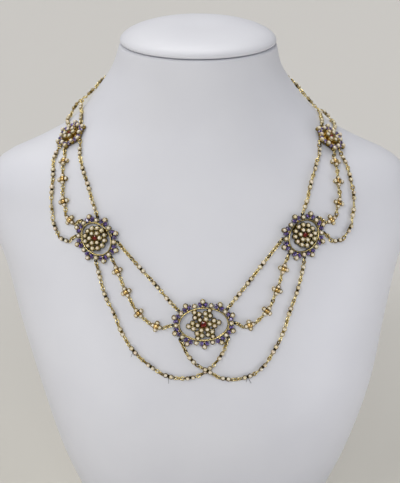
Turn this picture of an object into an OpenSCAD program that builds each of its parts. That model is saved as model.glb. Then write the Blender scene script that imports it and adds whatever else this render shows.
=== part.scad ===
// Gold festoon necklace with seed pearls, violet petal stones and red stones,
// laid on a white leatherette neck bust.
// Lengths are millimetres and angles are degrees. The bust stands on z = 0, its front faces -y,
// and x runs to the right as seen from the front.
// A place on the bust is a turn about its upright axis and a height:
// turn 0 is the front, positive to the right, 180 the back of the neck.

/* [Bust] */
// Height of the bust up to the seam under its top pad
bust_h = 262; // [250:1:275]
// Thickness of the padded disc that closes the neck
pad_t = 5; // [4:0.5:7]
// Radius of the padded disc
pad_r = 41; // [40:0.5:42]

/* [Pearls and stones] */
// Diameter of a seed pearl
pearl_d = 2.1; // [1.9:0.05:2.15]
// Length of a violet petal stone
petal_l = 2.4; // [2.1:0.1:2.5]
// Width of a violet petal stone
petal_w = 1.4; // [1.2:0.1:1.5]
// Half width of the centre medallion's red stone
centre_red = 1.45; // [1.2:0.05:1.5]
// Half width of the other red stones
side_red = 1.1; // [0.9:0.05:1.15]

/* [Medallions] */
// Half length of the centre medallion's oval ring
oval_a = 12.5; // [12:0.1:13]
// Half height of the centre medallion's oval ring
oval_b = 8.25; // [8:0.05:8.5]
// Half length of a side medallion's oval ring
side_a = 9; // [8.8:0.05:9.2]
// Half height of a side medallion's oval ring
side_b = 7; // [6.9:0.05:7.2]
// Radius of a shoulder rosette's plate
rosette_r = 4.6; // [4.5:0.1:5]
// Thickness of the gold plates that hold the stones
plate_t = 1.2; // [1.1:0.05:1.4]
// Height of the band round each open medallion
band_h = 1.7; // [1.5:0.1:2]
// Thickness of that band
band_t = 0.6; // [0.5:0.05:0.7]

/* [Chains] */
// Width of the chains, over their pearls and links
chain_d = 1.7; // [1.4:0.1:1.8]
// Radius of a flower link from its middle to its outer pearls' middles
flower_r = 1.75; // [1.7:0.05:1.8]
// Length of the clasp's body
clasp_l = 8; // [6:0.5:9]

/* [Hidden] */

// Colours of the photo's materials
leatherette = "gainsboro";
gold = "darkkhaki";
pearl_white = "antiquewhite";
violet = "darkslateblue";
red = "darkred";

// Gap between a stone and its seat, and between a piece and what carries it
stone_gap = 0.08;
seat_gap = 0.3;

// Sections of the bust from the base up: height, half width, depth to the front, depth to the back,
// squareness of the outline (2 is an ellipse), and how far it is set to the right
BUST = [
    [0, 57, 58, 38, 2.2, 2],
    [20, 68, 70, 42, 2.2, 2],
    [45, 79, 80, 44, 2.2, 2.5],
    [80, 90, 86, 46, 2.2, 3],
    [115, 98, 83, 48, 2.2, 1.5],
    [145, 104.5, 76.5, 48, 2.2, 1],
    [165, 110.5, 70, 47, 2.2, 0.5],
    [180, 113, 64.5, 46, 2.1, 0],
    [192, 111, 60, 45, 2.1, -0.5],
    [202, 103, 56, 44, 2, -1],
    [210, 86, 53, 43, 2, -1],
    [218, 71, 50, 42, 2, -1],
    [226, 61.5, 47, 41, 2, -1],
    [236, 53.5, 44.5, 41, 2, -1.5],
    [250, 44.5, 42.5, 41, 2, -1.5],
    [262, 41, 41, 41, 2, -1]
];
BUST_SIDES = 48;

// Where each medallion sits: turn, height, gap to the bust, spin in its own plane, lean of its face,
// and turn of its cluster of pearls
CENTRE = [0.5, 135, 0.35, 2.5, [0, 0, 0], 5];
LEFT_SIDE = [-41, 174, 0.45, -45, [0, 0, 0], -8];
RIGHT_SIDE = [41, 175.5, 0.45, 225, [0, 0, 0], 5];
LEFT_ROSETTE = [-71.75, 217.4, 0.95, -5, [-0.025, -0.05, -0.04], 30];
RIGHT_ROSETTE = [71.9, 215.6, 1.2, -4, [0.05, -0.05, -0.05], 30];

// Middle of the rings that join the back chains to the short chains, as turn, height and
// how far the chains stand off the bust there, where they bridge the hollow of the neck
LEFT_JOIN = [-94, 229, 2];
RIGHT_JOIN = [95, 224.5, 0];
CLASP_H = 243;

// Routes of the chains between their eyes, as turn, height and how far they stand off the bust
LEFT_OUTER = [[-68, 209, 0], [-62.5, 202.5, 0], [-59.5, 195, 0],
    [-57.5, 186, 0], [-55.5, 178, 0], [-51.5, 172, 0]];
RIGHT_OUTER = [[67, 207, 0], [63.5, 200, 0], [61, 192, 0],
    [59, 184, 0], [56.5, 176.5, 0], [51.5, 171.5, 0]];
LEFT_INNER = [[-60, 212.5, 0], [-53, 205, 0], [-48.5, 198.5, 0], [-44.5, 190, 0]];
RIGHT_INNER = [[61, 212, 0], [55, 206.5, 0], [49.5, 199, 0], [45, 190.5, 0]];
LEFT_UPPER = [[-23.5, 161, 0], [-17.5, 153.5, 0], [-12.5, 146.5, 0]];
RIGHT_UPPER = [[24, 163, 0], [18.5, 155.5, 0], [13.5, 148.5, 0]];
LEFT_SWAG = [[-38, 157, 0], [-35, 146.5, 0], [-31.5, 138, 0], [-28.5, 129.5, 0], [-24, 120.5, 0],
    [-18, 113, 0], [-12, 108.5, 0], [-4.5, 108, 0], [1.5, 112, 0], [6.3, 119.2, 0]];
RIGHT_SWAG = [[38, 159.5, 0], [35, 149.5, 0], [31.5, 139.5, 0], [28.5, 129.5, 0], [25, 121, 0],
    [20.5, 112.5, 0], [15, 108, 0], [7.5, 107.5, 0.4], [1.5, 112, 2.1], [-3.9, 117.3, 0.6]];
LEFT_SHORT_OUTER = [[-94.5, 226.5, 2.5], [-95, 223.5, 2], [-93.5, 221, 0.3]];
LEFT_SHORT_INNER = [[-89, 227.5, 0.6], [-80.5, 226, 0]];
RIGHT_SHORT_OUTER = [[95.5, 221, 1], [93, 219, 0.2]];
RIGHT_SHORT_INNER = [[85, 223.5, 0]];
LEFT_BACK = [[-93.5, 231.5, 1.3], [-93.5, 234, 0.6], [-95, 236.5, 0],
    [-108, 240, 0], [-125, 242, 0], [-150, 243, 0]];
RIGHT_BACK = [[95, 227.5, 0.1], [94.5, 231, 0.2], [95.5, 234.5, 0],
    [108, 239, 0], [125, 242, 0], [150, 243, 0]];

// Routes of the flower chains: each row is the place of a flower
LEFT_SHOULDER_FLOWERS = [[-62.5, 207.5, 0], [-58, 200.2, 0], [-54.5, 190.5, 0], [-51.2, 181.9, 0]];
RIGHT_SHOULDER_FLOWERS = [[63.3, 207, 0], [59, 199, 0], [55.6, 189.5, 0], [51.7, 181.9, 0]];
LEFT_FRONT_FLOWERS = [[-32, 159.5, 0], [-28, 149.5, 0], [-23, 139.5, 0], [-16.5, 133.5, 0]];
RIGHT_FRONT_FLOWERS = [[31.5, 160.5, 0], [28, 150.5, 0], [23.5, 140.5, 0], [17, 134, 0]];

// Sizes that follow from the ones above
height_scale = bust_h / 262;
pearl_r = pearl_d / 2;
chain_r = chain_d / 2;
cup_r = pearl_r + 0.25;
star_cup_r = pearl_r + 0.4;
pearl_rise = 0.3;
single_off = 1.45;
petal_off = 1.65;
petal_side = 1.3;
petal_splay = 40;
tip_off = 3.25;
eye_r = 0.8;
eye_hole = 0.4;
eye_t = 0.6;
eye_off = single_off + cup_r + 0.45;
tip_eye_off = tip_off + cup_r + 0.45;
chain_lift = chain_r + seat_gap;
flower_eye = flower_r + cup_r + 0.3;
flower_reach = flower_eye + 0.6;
ring_r = 1.5;
ring_wire = 0.35;
clasp_reach = clasp_l / 2 + 1.7;

// Smooth value of column k of a table at x, its first column
function row_below(rows, x) = max([for (i = [0:len(rows) - 2]) if (i == 0 || rows[i][0] <= x) i]);
function rise(rows, i, k) = (rows[i + 1][k] - rows[i][k]) / (rows[i + 1][0] - rows[i][0]);
function slope(rows, i, k) = i == 0 ? rise(rows, 0, k)
    : i == len(rows) - 1 ? rise(rows, i - 1, k)
    : (rows[i + 1][k] - rows[i - 1][k]) / (rows[i + 1][0] - rows[i - 1][0]);
function smooth(rows, x, k) = let (
    i = row_below(rows, x),
    h = rows[i + 1][0] - rows[i][0],
    t = (x - rows[i][0]) / h)
    (2 * t^3 - 3 * t^2 + 1) * rows[i][k] + (t^3 - 2 * t^2 + t) * h * slope(rows, i, k)
    + (3 * t^2 - 2 * t^3) * rows[i + 1][k] + (t^3 - t^2) * h * slope(rows, i + 1, k);

// Point of the bust's surface at a turn and height
function on_bust(turn, z) = let (
    depth = smooth(BUST, z, cos(turn) > 0 ? 2 : 3),
    n = smooth(BUST, z, 4),
    r = pow(pow(abs(sin(turn)) / smooth(BUST, z, 1), n) + pow(abs(cos(turn)) / depth, n), -1 / n))
    [smooth(BUST, z, 5) + r * sin(turn), -r * cos(turn), z * height_scale];

// Direction straight out of the bust there
function unit(v) = v / norm(v);
function outward(turn, z) = unit(cross(
    on_bust(turn + 0.2, z) - on_bust(turn - 0.2, z),
    on_bust(turn, z + 0.2) - on_bust(turn, z - 0.2)));

// Height of a point over the bust, measured at turn and height q
function height_over(p, q) = (p - on_bust(q[0], q[1])) * outward(q[0], q[1]);

// Turn and height of the place on the bust straight under a point near it, found in a few steps
function turn_of(p) = let (z = p.z / height_scale) [atan2(p.x - smooth(BUST, z, 5), -p.y), z];
function foot(p, q, steps = 5) = steps == 0 ? q
    : foot(p, turn_of(p - height_over(p, q) * outward(q[0], q[1])), steps - 1);

// Frame of a medallion's face: its middle, the directions across and up its face, and out of it
function face_of(m) = let (
    out = unit(outward(m[0], m[1]) + m[4]),
    level = unit(cross([0, 0, 1], out)),
    rise_up = cross(out, level))
    [on_bust(m[0], m[1]) + m[2] * out,
     cos(m[3]) * level + sin(m[3]) * rise_up,
     cos(m[3]) * rise_up - sin(m[3]) * level,
     out];

// Puts a piece that is drawn flat, its back on z = 0, in a medallion's place
module seated(m) {
    f = face_of(m);
    multmatrix([
        [f[1].x, f[2].x, f[3].x, f[0].x],
        [f[1].y, f[2].y, f[3].y, f[0].y],
        [f[1].z, f[2].z, f[3].z, f[0].z]
    ]) children();
}

// Point beside an oval of half axes a and b at its parameter t, out of it by off and along it by side
function beside(a, b, t, off, side = 0) = let (n = unit([cos(t) / a, sin(t) / b]))
    [a * cos(t), b * sin(t)] + off * n + side * [-n.y, n.x];
function outward_angle(a, b, t) = atan2(sin(t) / b, cos(t) / a);

// Places of the border's single pearls and trefoils round the three kinds of medallion
function singles(kind) = kind == "centre" ? [for (i = [0:9]) 108 + 36 * i]
    : kind == "side" ? [for (i = [0:7]) 45 * i]
    : [for (i = [0:5]) 90 + 60 * i];
function trefoils(kind) = kind == "centre" ? [for (i = [0:9]) 90 + 36 * i]
    : kind == "side" ? [for (i = [0:7]) 22.5 + 45 * i]
    : [for (i = [0:5]) 60 * i];
function half_a(kind) = kind == "centre" ? oval_a : kind == "side" ? side_a : rosette_r;
function half_b(kind) = kind == "centre" ? oval_b : kind == "side" ? side_b : rosette_r;

// Middles of the cluster's pearls and how far their cups stand above the plates:
// six inner ones, then the star's three to each point or the second ring's twelve
function polar(r, a) = [r * cos(a), r * sin(a)];
function cluster(kind, turn) = kind == "centre"
    ? [for (a = [0:60:300]) each [
        [each polar(3.05, a + turn), 1],
        [each polar(5.55, a + turn - 14), 0.6],
        [each polar(5.55, a + turn + 14), 0.6],
        [each polar(7.65, a + turn), 0.2]]]
    : kind == "side" ? [for (a = [0:60:300]) each [
        [each middle(kind) + polar(2.7, a + turn), 1.2],
        [each middle(kind) + polar(5.2, a + turn - 15), 0.6],
        [each middle(kind) + polar(5.2, a + turn + 15), 0.6]]]
    : [for (a = [0:60:300]) [each polar(2.75, a + turn), 0.6]];

// Middle of the cluster, how high its plates start, and how far its stone's collet stands above them
function middle(kind) = kind == "side" ? [-0.4, 0] : [0, 0];
function star_z(kind) = kind == "side" ? 1 : 0.5;
function collet_rise(kind) = kind == "rosette" ? 0.4 : kind == "side" ? 1 : 0.8;

// Three-dimensional middle of the eye beside border place t of a medallion
function eye_at(m, kind, t, off = eye_off) = let (
    f = face_of(m), q = beside(half_a(kind), half_b(kind), t, off))
    f[0] + q.x * f[1] + q.y * f[2] + eye_t * f[3];

// Outline of a petal stone, pointed at both ends, grown by some
module petal_outline(grow = 0) {
    l = petal_l + 2 * grow;
    w = petal_w + 2 * grow;
    r = (l^2 + w^2) / (4 * w);
    intersection() {
        translate([0, r - w / 2]) circle(r, $fn = 64);
        translate([0, w / 2 - r]) circle(r, $fn = 64);
    }
}

// Puts a piece at each of the two petals of each trefoil
module at_petals(kind) {
    a = half_a(kind);
    b = half_b(kind);
    for (t = trefoils(kind), s = [-1, 1])
        translate(beside(a, b, t, petal_off, s * petal_side))
            rotate(outward_angle(a, b, t) + s * petal_splay) children();
}

module petals(kind) {
    dome_r = 2.2;
    stone_h = 1.1;
    at_petals(kind) translate([0, 0, plate_t - 0.4]) intersection() {
        linear_extrude(stone_h) petal_outline();
        translate([0, 0, stone_h - dome_r]) sphere(dome_r, $fn = 64);
    }
}

// Places of all border pearls: the singles on the ring and the trefoils' tips
function border_places(kind) = let (a = half_a(kind), b = half_b(kind)) [
    for (t = singles(kind)) beside(a, b, t, single_off),
    for (t = trefoils(kind)) beside(a, b, t, tip_off)];

module border_pearls(kind, grow = 0) {
    for (p = border_places(kind))
        translate([p.x, p.y, plate_t + pearl_rise]) sphere(pearl_r + grow, $fn = 32);
}

module cluster_pearls(kind, turn, grow = 0) {
    for (p = cluster(kind, turn))
        translate([p.x, p.y, star_z(kind) + plate_t + p[2] + pearl_rise]) sphere(pearl_r + grow, $fn = 32);
}

module oval_outline(a, b) {
    polygon([for (i = [0:71]) [a * cos(5 * i), b * sin(5 * i)]]);
}

module band_outline(kind) {
    difference() {
        oval_outline(half_a(kind) + band_t / 2, half_b(kind) + band_t / 2);
        oval_outline(half_a(kind) - band_t / 2, half_b(kind) - band_t / 2);
    }
}

// Gold plate of the border: cups, petal collets and the webs that hold them to the ring
module border_outline(kind) {
    a = half_a(kind);
    b = half_b(kind);
    for (p = border_places(kind)) translate(p) circle(cup_r, $fn = 32);
    for (t = trefoils(kind)) translate(beside(a, b, t, 0.85)) circle(0.95, $fn = 32);
    at_petals(kind) petal_outline(0.25);
}

// Small eye that a chain hooks into
module eye(a, b, t, off = eye_off) {
    translate([each beside(a, b, t, off), 0.3]) linear_extrude(eye_t) difference() {
        circle(eye_r, $fn = 32);
        circle(eye_hole, $fn = 32);
    }
}

// Outline of a red stone: a square with cut corners
function stone_ring(h, z) = let (c = 0.35 * h) [
    [h, c - h, z], [h, h - c, z], [h - c, h, z], [c - h, h, z],
    [-h, h - c, z], [-h, c - h, z], [c - h, -h, z], [h - c, -h, z]];

// Cut stone from the pavilion's point up: girdle and table with eight sides each
module cut_stone(h) {
    points = concat(
        [[0, 0, 0]], stone_ring(h, 0.55 * h), stone_ring(h, 0.65 * h), stone_ring(0.6 * h, 1.05 * h));
    faces = concat(
        [for (i = [0:7]) [0, 1 + (i + 1) % 8, 1 + i]],
        [for (k = [0, 1], i = [0:7]) let (p = 1 + 8 * k, j = (i + 1) % 8)
            [p + i, p + j, p + 8 + j, p + 8 + i]],
        [[for (i = [0:7]) 17 + i]]);
    polyhedron(points, [for (f = faces) [for (i = [len(f) - 1:-1:0]) f[i]]]);
}

function red_half(kind) = kind == "centre" ? centre_red : side_red;
function red_z(kind) = star_z(kind) + plate_t + collet_rise(kind) - 0.5 * red_half(kind);

module red_stone(kind) {
    translate([each middle(kind), red_z(kind)]) cut_stone(red_half(kind));
}

// Collet of the red stone, and the pocket cut in it
module red_collet(kind) {
    translate(middle(kind))
        cylinder(r = red_half(kind) + 0.75, h = star_z(kind) + plate_t + collet_rise(kind), $fn = 48);
}

module red_pocket(kind) {
    h = red_half(kind) + stone_gap;
    outline = [for (p = stone_ring(h, 0)) [p.x, p.y]];
    translate([each middle(kind), red_z(kind) - 0.15]) linear_extrude(4) polygon(outline);
}

// Cups of the cluster, each a short post with its own height
module cluster_cups(kind, turn) {
    for (p = cluster(kind, turn))
        translate([p.x, p.y, star_z(kind)]) cylinder(r = star_cup_r, h = plate_t + p[2], $fn = 32);
}

// Bars that tie a side medallion's cluster to its ring
module ties() {
    for (a = [0, 180]) rotate(a) translate([-1, 4.8, 0.7]) cube([2, side_b - 4.8, 0.9]);
}

module frame(kind, turn, eyes, tip_eyes = []) {
    a = half_a(kind);
    b = half_b(kind);
    difference() {
        union() {
            linear_extrude(plate_t) border_outline(kind);
            if (kind == "rosette") cylinder(r = rosette_r + 0.3, h = plate_t, $fn = 64);
            else linear_extrude(band_h) band_outline(kind);
            cluster_cups(kind, turn);
            red_collet(kind);
            if (kind == "side") ties();
            for (t = eyes) eye(a, b, t);
            for (t = tip_eyes) eye(a, b, t, tip_eye_off);
        }
        if (kind != "rosette") border_pearls(kind, stone_gap);
        cluster_pearls(kind, turn, stone_gap);
        red_pocket(kind);
        at_petals(kind) translate([0, 0, plate_t - 0.5]) linear_extrude(2) petal_outline(stone_gap);
    }
    if (kind == "rosette") border_pearls(kind);
}

// The bust: one smooth closed form through its sections, with two rings of points to each
module bust_form() {
    heights = [for (i = [0:len(BUST) - 2]) each [BUST[i][0], (BUST[i][0] + BUST[i + 1][0]) / 2],
        BUST[len(BUST) - 1][0]];
    n = BUST_SIDES;
    top = (len(heights) - 1) * n;
    points = [for (z = heights, i = [0:n - 1]) on_bust(360 * i / n, z)];
    walls = [for (k = [0:len(heights) - 2], i = [0:n - 1]) let (p = k * n, j = (i + 1) % n)
        each [[p + i, p + n + i, p + j], [p + j, p + n + i, p + n + j]]];
    color(leatherette) polyhedron(points, concat(
        walls,
        [[for (i = [0:n - 1]) i]],
        [[for (i = [n - 1:-1:0]) top + i]]));
}

// Padded disc on the neck, crowned and round at its edge
module bust_top_pad() {
    edge = pad_t / 2;
    color(leatherette) translate([BUST[len(BUST) - 1][5], 0, bust_h + seat_gap])
        rotate_extrude($fn = 96) {
            square([pad_r - edge, pad_t]);
            intersection() {
                translate([pad_r - edge, edge]) circle(edge, $fn = 48);
                square([pad_r, pad_t]);
            }
        }
}

// Rows of a chain's route for smooth(): distance run, turn, height, lift
function run_to(pts, i) = i == 0 ? 0
    : run_to(pts, i - 1) + norm(on_bust(pts[i][0], pts[i][1]) - on_bust(pts[i - 1][0], pts[i - 1][1]));
function route(from, between, to) = let (pts = concat([from], between, [to]))
    [for (i = [0:len(pts) - 1]) [run_to(pts, i), each pts[i]]];
function run_of(rows) = rows[len(rows) - 1][0];
function from_eye(m, kind, t, off = eye_off) = let (p = eye_at(m, kind, t, off), q = foot(p, turn_of(p)))
    [each q, max(0, height_over(p, q) - chain_lift)];
function route_turn(rows, s) = [smooth(rows, s, 1), smooth(rows, s, 2)];
function route_out(rows, s) = let (q = route_turn(rows, s)) outward(q[0], q[1]);
function route_point(rows, s) = let (q = route_turn(rows, s))
    on_bust(q[0], q[1]) + (chain_lift + max(0, smooth(rows, s, 3))) * outward(q[0], q[1]);

// Tube along a route from run s0 to run s1, with a ring of eight points every three widths
module chain_tube(rows, s0, s1) {
    sides = 8;
    count = max(2, ceil((s1 - s0) / (3 * chain_d)));
    points = [for (i = [0:count]) let (
        s = s0 + (s1 - s0) * i / count,
        along = unit(route_point(rows, s + 0.2) - route_point(rows, s - 0.2)),
        out = unit(route_out(rows, s) - (route_out(rows, s) * along) * along),
        across = cross(out, along))
        for (k = [0:sides - 1])
            route_point(rows, s) + chain_r * (cos(360 * k / sides) * across + sin(360 * k / sides) * out)];
    walls = [for (i = [0:count - 1], k = [0:sides - 1]) let (p = i * sides, j = (k + 1) % sides)
        each [[p + k, p + sides + k, p + j], [p + j, p + sides + k, p + sides + j]]];
    polyhedron(points, concat(
        walls,
        [[for (k = [0:sides - 1]) k]],
        [[for (k = [sides - 1:-1:0]) count * sides + k]]));
}

// How far a chain's tube stops from the middle of an eye, a joining ring or the clasp
eye_trim = eye_r + seat_gap;
ring_trim = ring_r + ring_wire + seat_gap;
clasp_trim = 0;

module chain(rows, trim0 = eye_trim, trim1 = eye_trim) {
    color(gold) chain_tube(rows, trim0, run_of(rows) - trim1);
}

// Chain between flowers: one tube from an end or flower to the next
module flower_chain(rows) {
    reach = flower_reach + seat_gap;
    last = len(rows) - 1;
    color(gold) for (i = [1:last]) chain_tube(
        rows,
        i == 1 ? eye_trim : rows[i - 1][0] + reach,
        i == last ? rows[i][0] - eye_trim : rows[i][0] - reach);
}

// Flower link: four cupped pearls round a gold boss, with an eye at each end, drawn along x
module flower_link() {
    plate = 0.9;
    difference() {
        union() {
            cylinder(r = 1.3, h = plate, $fn = 32);
            for (k = [0:3]) rotate(90 * k) translate([flower_r, 0, 0])
                cylinder(r = cup_r, h = plate, $fn = 32);
            for (s = [-1, 1]) translate([s * flower_eye, 0, 0.15]) cylinder(r = 0.6, h = 0.6, $fn = 24);
        }
        for (s = [-1, 1]) translate([s * (flower_eye + 0.05), 0, -1]) cylinder(r = 0.28, h = 3, $fn = 24);
    }
}

module flower_link_whole() {
    union() {
        flower_link();
        for (k = [0:3]) rotate(90 * k) translate([flower_r, 0, 1.2]) sphere(pearl_r, $fn = 32);
        translate([0, 0, 1.25]) sphere(0.95, $fn = 32);
    }
}

module flowers(rows) {
    color(gold) for (i = [1:len(rows) - 2]) {
        s = rows[i][0];
        q = route_turn(rows, s);
        out = outward(q[0], q[1]);
        run = unit(route_point(rows, s + 0.5) - route_point(rows, s - 0.5));
        along = unit(run - (run * out) * out);
        across = cross(out, along);
        p = on_bust(q[0], q[1]) + seat_gap * out;
        multmatrix([
            [along.x, across.x, out.x, p.x],
            [along.y, across.y, out.y, p.y],
            [along.z, across.z, out.z, p.z]
        ]) flower_link_whole();
    }
}

// Routes with their ends at the eyes that hold them
left_outer = route(
    from_eye(LEFT_ROSETTE, "rosette", 270), LEFT_OUTER, from_eye(LEFT_SIDE, "side", 225));
right_outer = route(
    from_eye(RIGHT_ROSETTE, "rosette", 270), RIGHT_OUTER, from_eye(RIGHT_SIDE, "side", 135));
left_inner = route(
    from_eye(LEFT_ROSETTE, "rosette", 0, tip_eye_off), LEFT_INNER, from_eye(LEFT_SIDE, "side", 135));
right_inner = route(
    from_eye(RIGHT_ROSETTE, "rosette", 180, tip_eye_off), RIGHT_INNER, from_eye(RIGHT_SIDE, "side", 225));
left_shoulder = route(
    from_eye(LEFT_ROSETTE, "rosette", 300, tip_eye_off),
    LEFT_SHOULDER_FLOWERS,
    from_eye(LEFT_SIDE, "side", 180));
right_shoulder = route(
    from_eye(RIGHT_ROSETTE, "rosette", 240, tip_eye_off),
    RIGHT_SHOULDER_FLOWERS,
    from_eye(RIGHT_SIDE, "side", 180));
left_upper = route(from_eye(LEFT_SIDE, "side", 45), LEFT_UPPER, from_eye(CENTRE, "centre", 144));
right_upper = route(from_eye(RIGHT_SIDE, "side", 315), RIGHT_UPPER, from_eye(CENTRE, "centre", 36));
left_front = route(from_eye(LEFT_SIDE, "side", 0), LEFT_FRONT_FLOWERS, from_eye(CENTRE, "centre", 180));
right_front = route(from_eye(RIGHT_SIDE, "side", 0), RIGHT_FRONT_FLOWERS, from_eye(CENTRE, "centre", 0));
left_swag = route(from_eye(LEFT_SIDE, "side", 315), LEFT_SWAG, from_eye(CENTRE, "centre", 324));
right_swag = route(from_eye(RIGHT_SIDE, "side", 45), RIGHT_SWAG, from_eye(CENTRE, "centre", 216));
left_short_outer = route(LEFT_JOIN, LEFT_SHORT_OUTER, from_eye(LEFT_ROSETTE, "rosette", 150));
left_short_inner = route(LEFT_JOIN, LEFT_SHORT_INNER, from_eye(LEFT_ROSETTE, "rosette", 90));
right_short_outer = route(RIGHT_JOIN, RIGHT_SHORT_OUTER, from_eye(RIGHT_ROSETTE, "rosette", 30));
right_short_inner = route(RIGHT_JOIN, RIGHT_SHORT_INNER, from_eye(RIGHT_ROSETTE, "rosette", 90));
clasp_turn = 2 * asin(clasp_reach / 2 / norm([for (i = [0, 1]) on_bust(180, CLASP_H)[i]]));
left_back = route(LEFT_JOIN, LEFT_BACK, [clasp_turn - 180, CLASP_H, 0]);
right_back = route(RIGHT_JOIN, RIGHT_BACK, [180 - clasp_turn, CLASP_H, 0]);

// Ring that joins a back chain to the two short chains
module joining_ring(at) {
    color(gold) seated([at[0], at[1], at[2] + chain_lift, 0, [0, 0, 0]])
        rotate_extrude($fn = 48) translate([ring_r, 0]) circle(ring_wire, $fn = 24);
}

// Clasp: a plain box with round ends and an eye at each end
module clasp() {
    half = clasp_l / 2;
    color(gold) seated([180, CLASP_H, seat_gap, 0, [0, 0, 0]]) union() {
        linear_extrude(2.4) {
            square([clasp_l - 3.6, 3.6], center = true);
            for (s = [-1, 1]) translate([s * (half - 1.8), 0]) circle(1.8, $fn = 48);
        }
        for (s = [-1, 1]) translate([s * (half + 0.5), 0, 0.9]) linear_extrude(eye_t) difference() {
            circle(eye_r, $fn = 32);
            circle(eye_hole, $fn = 32);
        }
    }
}

// Pieces of a medallion in its place on the bust
module medallion_pearls(m, kind) {
    color(pearl_white) seated(m) cluster_pearls(kind, m[5]);
}

module medallion_border(m, kind) {
    color(pearl_white) seated(m) border_pearls(kind);
}

module medallion_petals(m, kind) {
    color(violet) seated(m) petals(kind);
}

module medallion_red(m, kind) {
    color(red) seated(m) red_stone(kind);
}

module medallion_frame(m, kind, eyes, tip_eyes = []) {
    color(gold) seated(m) frame(kind, m[5], eyes, tip_eyes);
}

bust_form();
bust_top_pad();

medallion_frame(CENTRE, "centre", [0, 36, 144, 180, 216, 324]);  // centre_frame
medallion_red(CENTRE, "centre");  // centre_red_stone
medallion_pearls(CENTRE, "centre");  // centre_star_pearls
medallion_border(CENTRE, "centre");  // centre_border_pearls
medallion_petals(CENTRE, "centre");  // centre_petals

medallion_frame(LEFT_SIDE, "side", [0, 45, 135, 180, 225, 315]);  // left_medallion_frame
medallion_red(LEFT_SIDE, "side");  // left_medallion_red_stone
medallion_pearls(LEFT_SIDE, "side");  // left_medallion_cluster_pearls
medallion_border(LEFT_SIDE, "side");  // left_medallion_border_pearls
medallion_petals(LEFT_SIDE, "side");  // left_medallion_petals

medallion_frame(RIGHT_SIDE, "side", [0, 45, 135, 180, 225, 315]);  // right_medallion_frame
medallion_red(RIGHT_SIDE, "side");  // right_medallion_red_stone
medallion_pearls(RIGHT_SIDE, "side");  // right_medallion_cluster_pearls
medallion_border(RIGHT_SIDE, "side");  // right_medallion_border_pearls
medallion_petals(RIGHT_SIDE, "side");  // right_medallion_petals

medallion_frame(LEFT_ROSETTE, "rosette", [90, 150, 270], [300, 0]);  // left_rosette_frame
medallion_red(LEFT_ROSETTE, "rosette");  // left_rosette_red_stone
medallion_pearls(LEFT_ROSETTE, "rosette");  // left_rosette_cluster_pearls

medallion_frame(RIGHT_ROSETTE, "rosette", [30, 90, 270], [240, 180]);  // right_rosette_frame
medallion_red(RIGHT_ROSETTE, "rosette");  // right_rosette_red_stone
medallion_pearls(RIGHT_ROSETTE, "rosette");  // right_rosette_cluster_pearls

chain(left_outer);  // left_outer_chain
chain(left_inner);  // left_inner_chain
chain(left_upper);  // left_upper_chain
chain(left_swag);  // left_swag_chain
flower_chain(left_shoulder);  // left_shoulder_flower_chain
flowers(left_shoulder);  // left_shoulder_flowers
flower_chain(left_front);  // left_front_flower_chain
flowers(left_front);  // left_front_flowers

chain(right_outer);  // right_outer_chain
chain(right_inner);  // right_inner_chain
chain(right_upper);  // right_upper_chain
chain(right_swag);  // right_swag_chain
flower_chain(right_shoulder);  // right_shoulder_flower_chain
flowers(right_shoulder);  // right_shoulder_flowers
flower_chain(right_front);  // right_front_flower_chain
flowers(right_front);  // right_front_flowers

chain(left_short_outer, ring_trim);  // left_short_outer_chain
chain(left_short_inner, ring_trim);  // left_short_inner_chain
chain(right_short_outer, ring_trim);  // right_short_outer_chain
chain(right_short_inner, ring_trim);  // right_short_inner_chain
joining_ring(LEFT_JOIN);  // left_joining_ring
joining_ring(RIGHT_JOIN);  // right_joining_ring
chain(left_back, ring_trim, clasp_trim);  // left_back_chain
chain(right_back, ring_trim, clasp_trim);  // right_back_chain
clasp();
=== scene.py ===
import math
import random

import bmesh
import bpy
from mathutils import Matrix, Vector


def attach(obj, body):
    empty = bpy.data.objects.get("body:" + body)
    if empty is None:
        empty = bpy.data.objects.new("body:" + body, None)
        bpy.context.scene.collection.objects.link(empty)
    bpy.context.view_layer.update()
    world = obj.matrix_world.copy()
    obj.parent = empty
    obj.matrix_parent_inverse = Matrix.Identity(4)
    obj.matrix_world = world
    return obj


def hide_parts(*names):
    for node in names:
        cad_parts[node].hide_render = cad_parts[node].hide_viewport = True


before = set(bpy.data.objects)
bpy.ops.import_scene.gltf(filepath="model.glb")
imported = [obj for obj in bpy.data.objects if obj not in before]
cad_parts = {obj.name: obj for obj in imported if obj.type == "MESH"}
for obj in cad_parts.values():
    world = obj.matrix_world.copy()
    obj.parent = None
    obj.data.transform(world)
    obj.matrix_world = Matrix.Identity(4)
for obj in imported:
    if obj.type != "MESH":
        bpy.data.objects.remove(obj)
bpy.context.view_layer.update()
MM = 0.001

# Sections of the bust: height, half width, depth to the front and to the back, squareness, and how
# far the section lies to the side
BUST = [
    (0, 57, 58, 38, 2.2, 2), (20, 68, 70, 42, 2.2, 2), (45, 79, 80, 44, 2.2, 2.5),
    (80, 90, 86, 46, 2.2, 3), (115, 98, 83, 48, 2.2, 1.5), (145, 104.5, 76.5, 48, 2.2, 1),
    (165, 110.5, 70, 47, 2.2, 0.5), (180, 113, 64.5, 46, 2.1, 0), (192, 111, 60, 45, 2.1, -0.5),
    (202, 103, 56, 44, 2, -1), (210, 86, 53, 43, 2, -1), (218, 71, 50, 42, 2, -1),
    (226, 61.5, 47, 41, 2, -1), (236, 53.5, 44.5, 41, 2, -1.5), (250, 44.5, 42.5, 41, 2, -1.5),
    (262, 41, 41, 41, 2, -1)]
BUST_H = 262
BUST_LIP = 1.0
BUST_FOOT = 0.8
# The pad lies over a seam. Its edge rolls up and tucks in; its padding is crowned, most at the back
SEAM = 0.3
PAD_R = 41
PAD_ROLL = 1.2
PAD_TUCK = 3.2
PAD_CROWN = 7.5
PAD_BACK = 5.5

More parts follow.
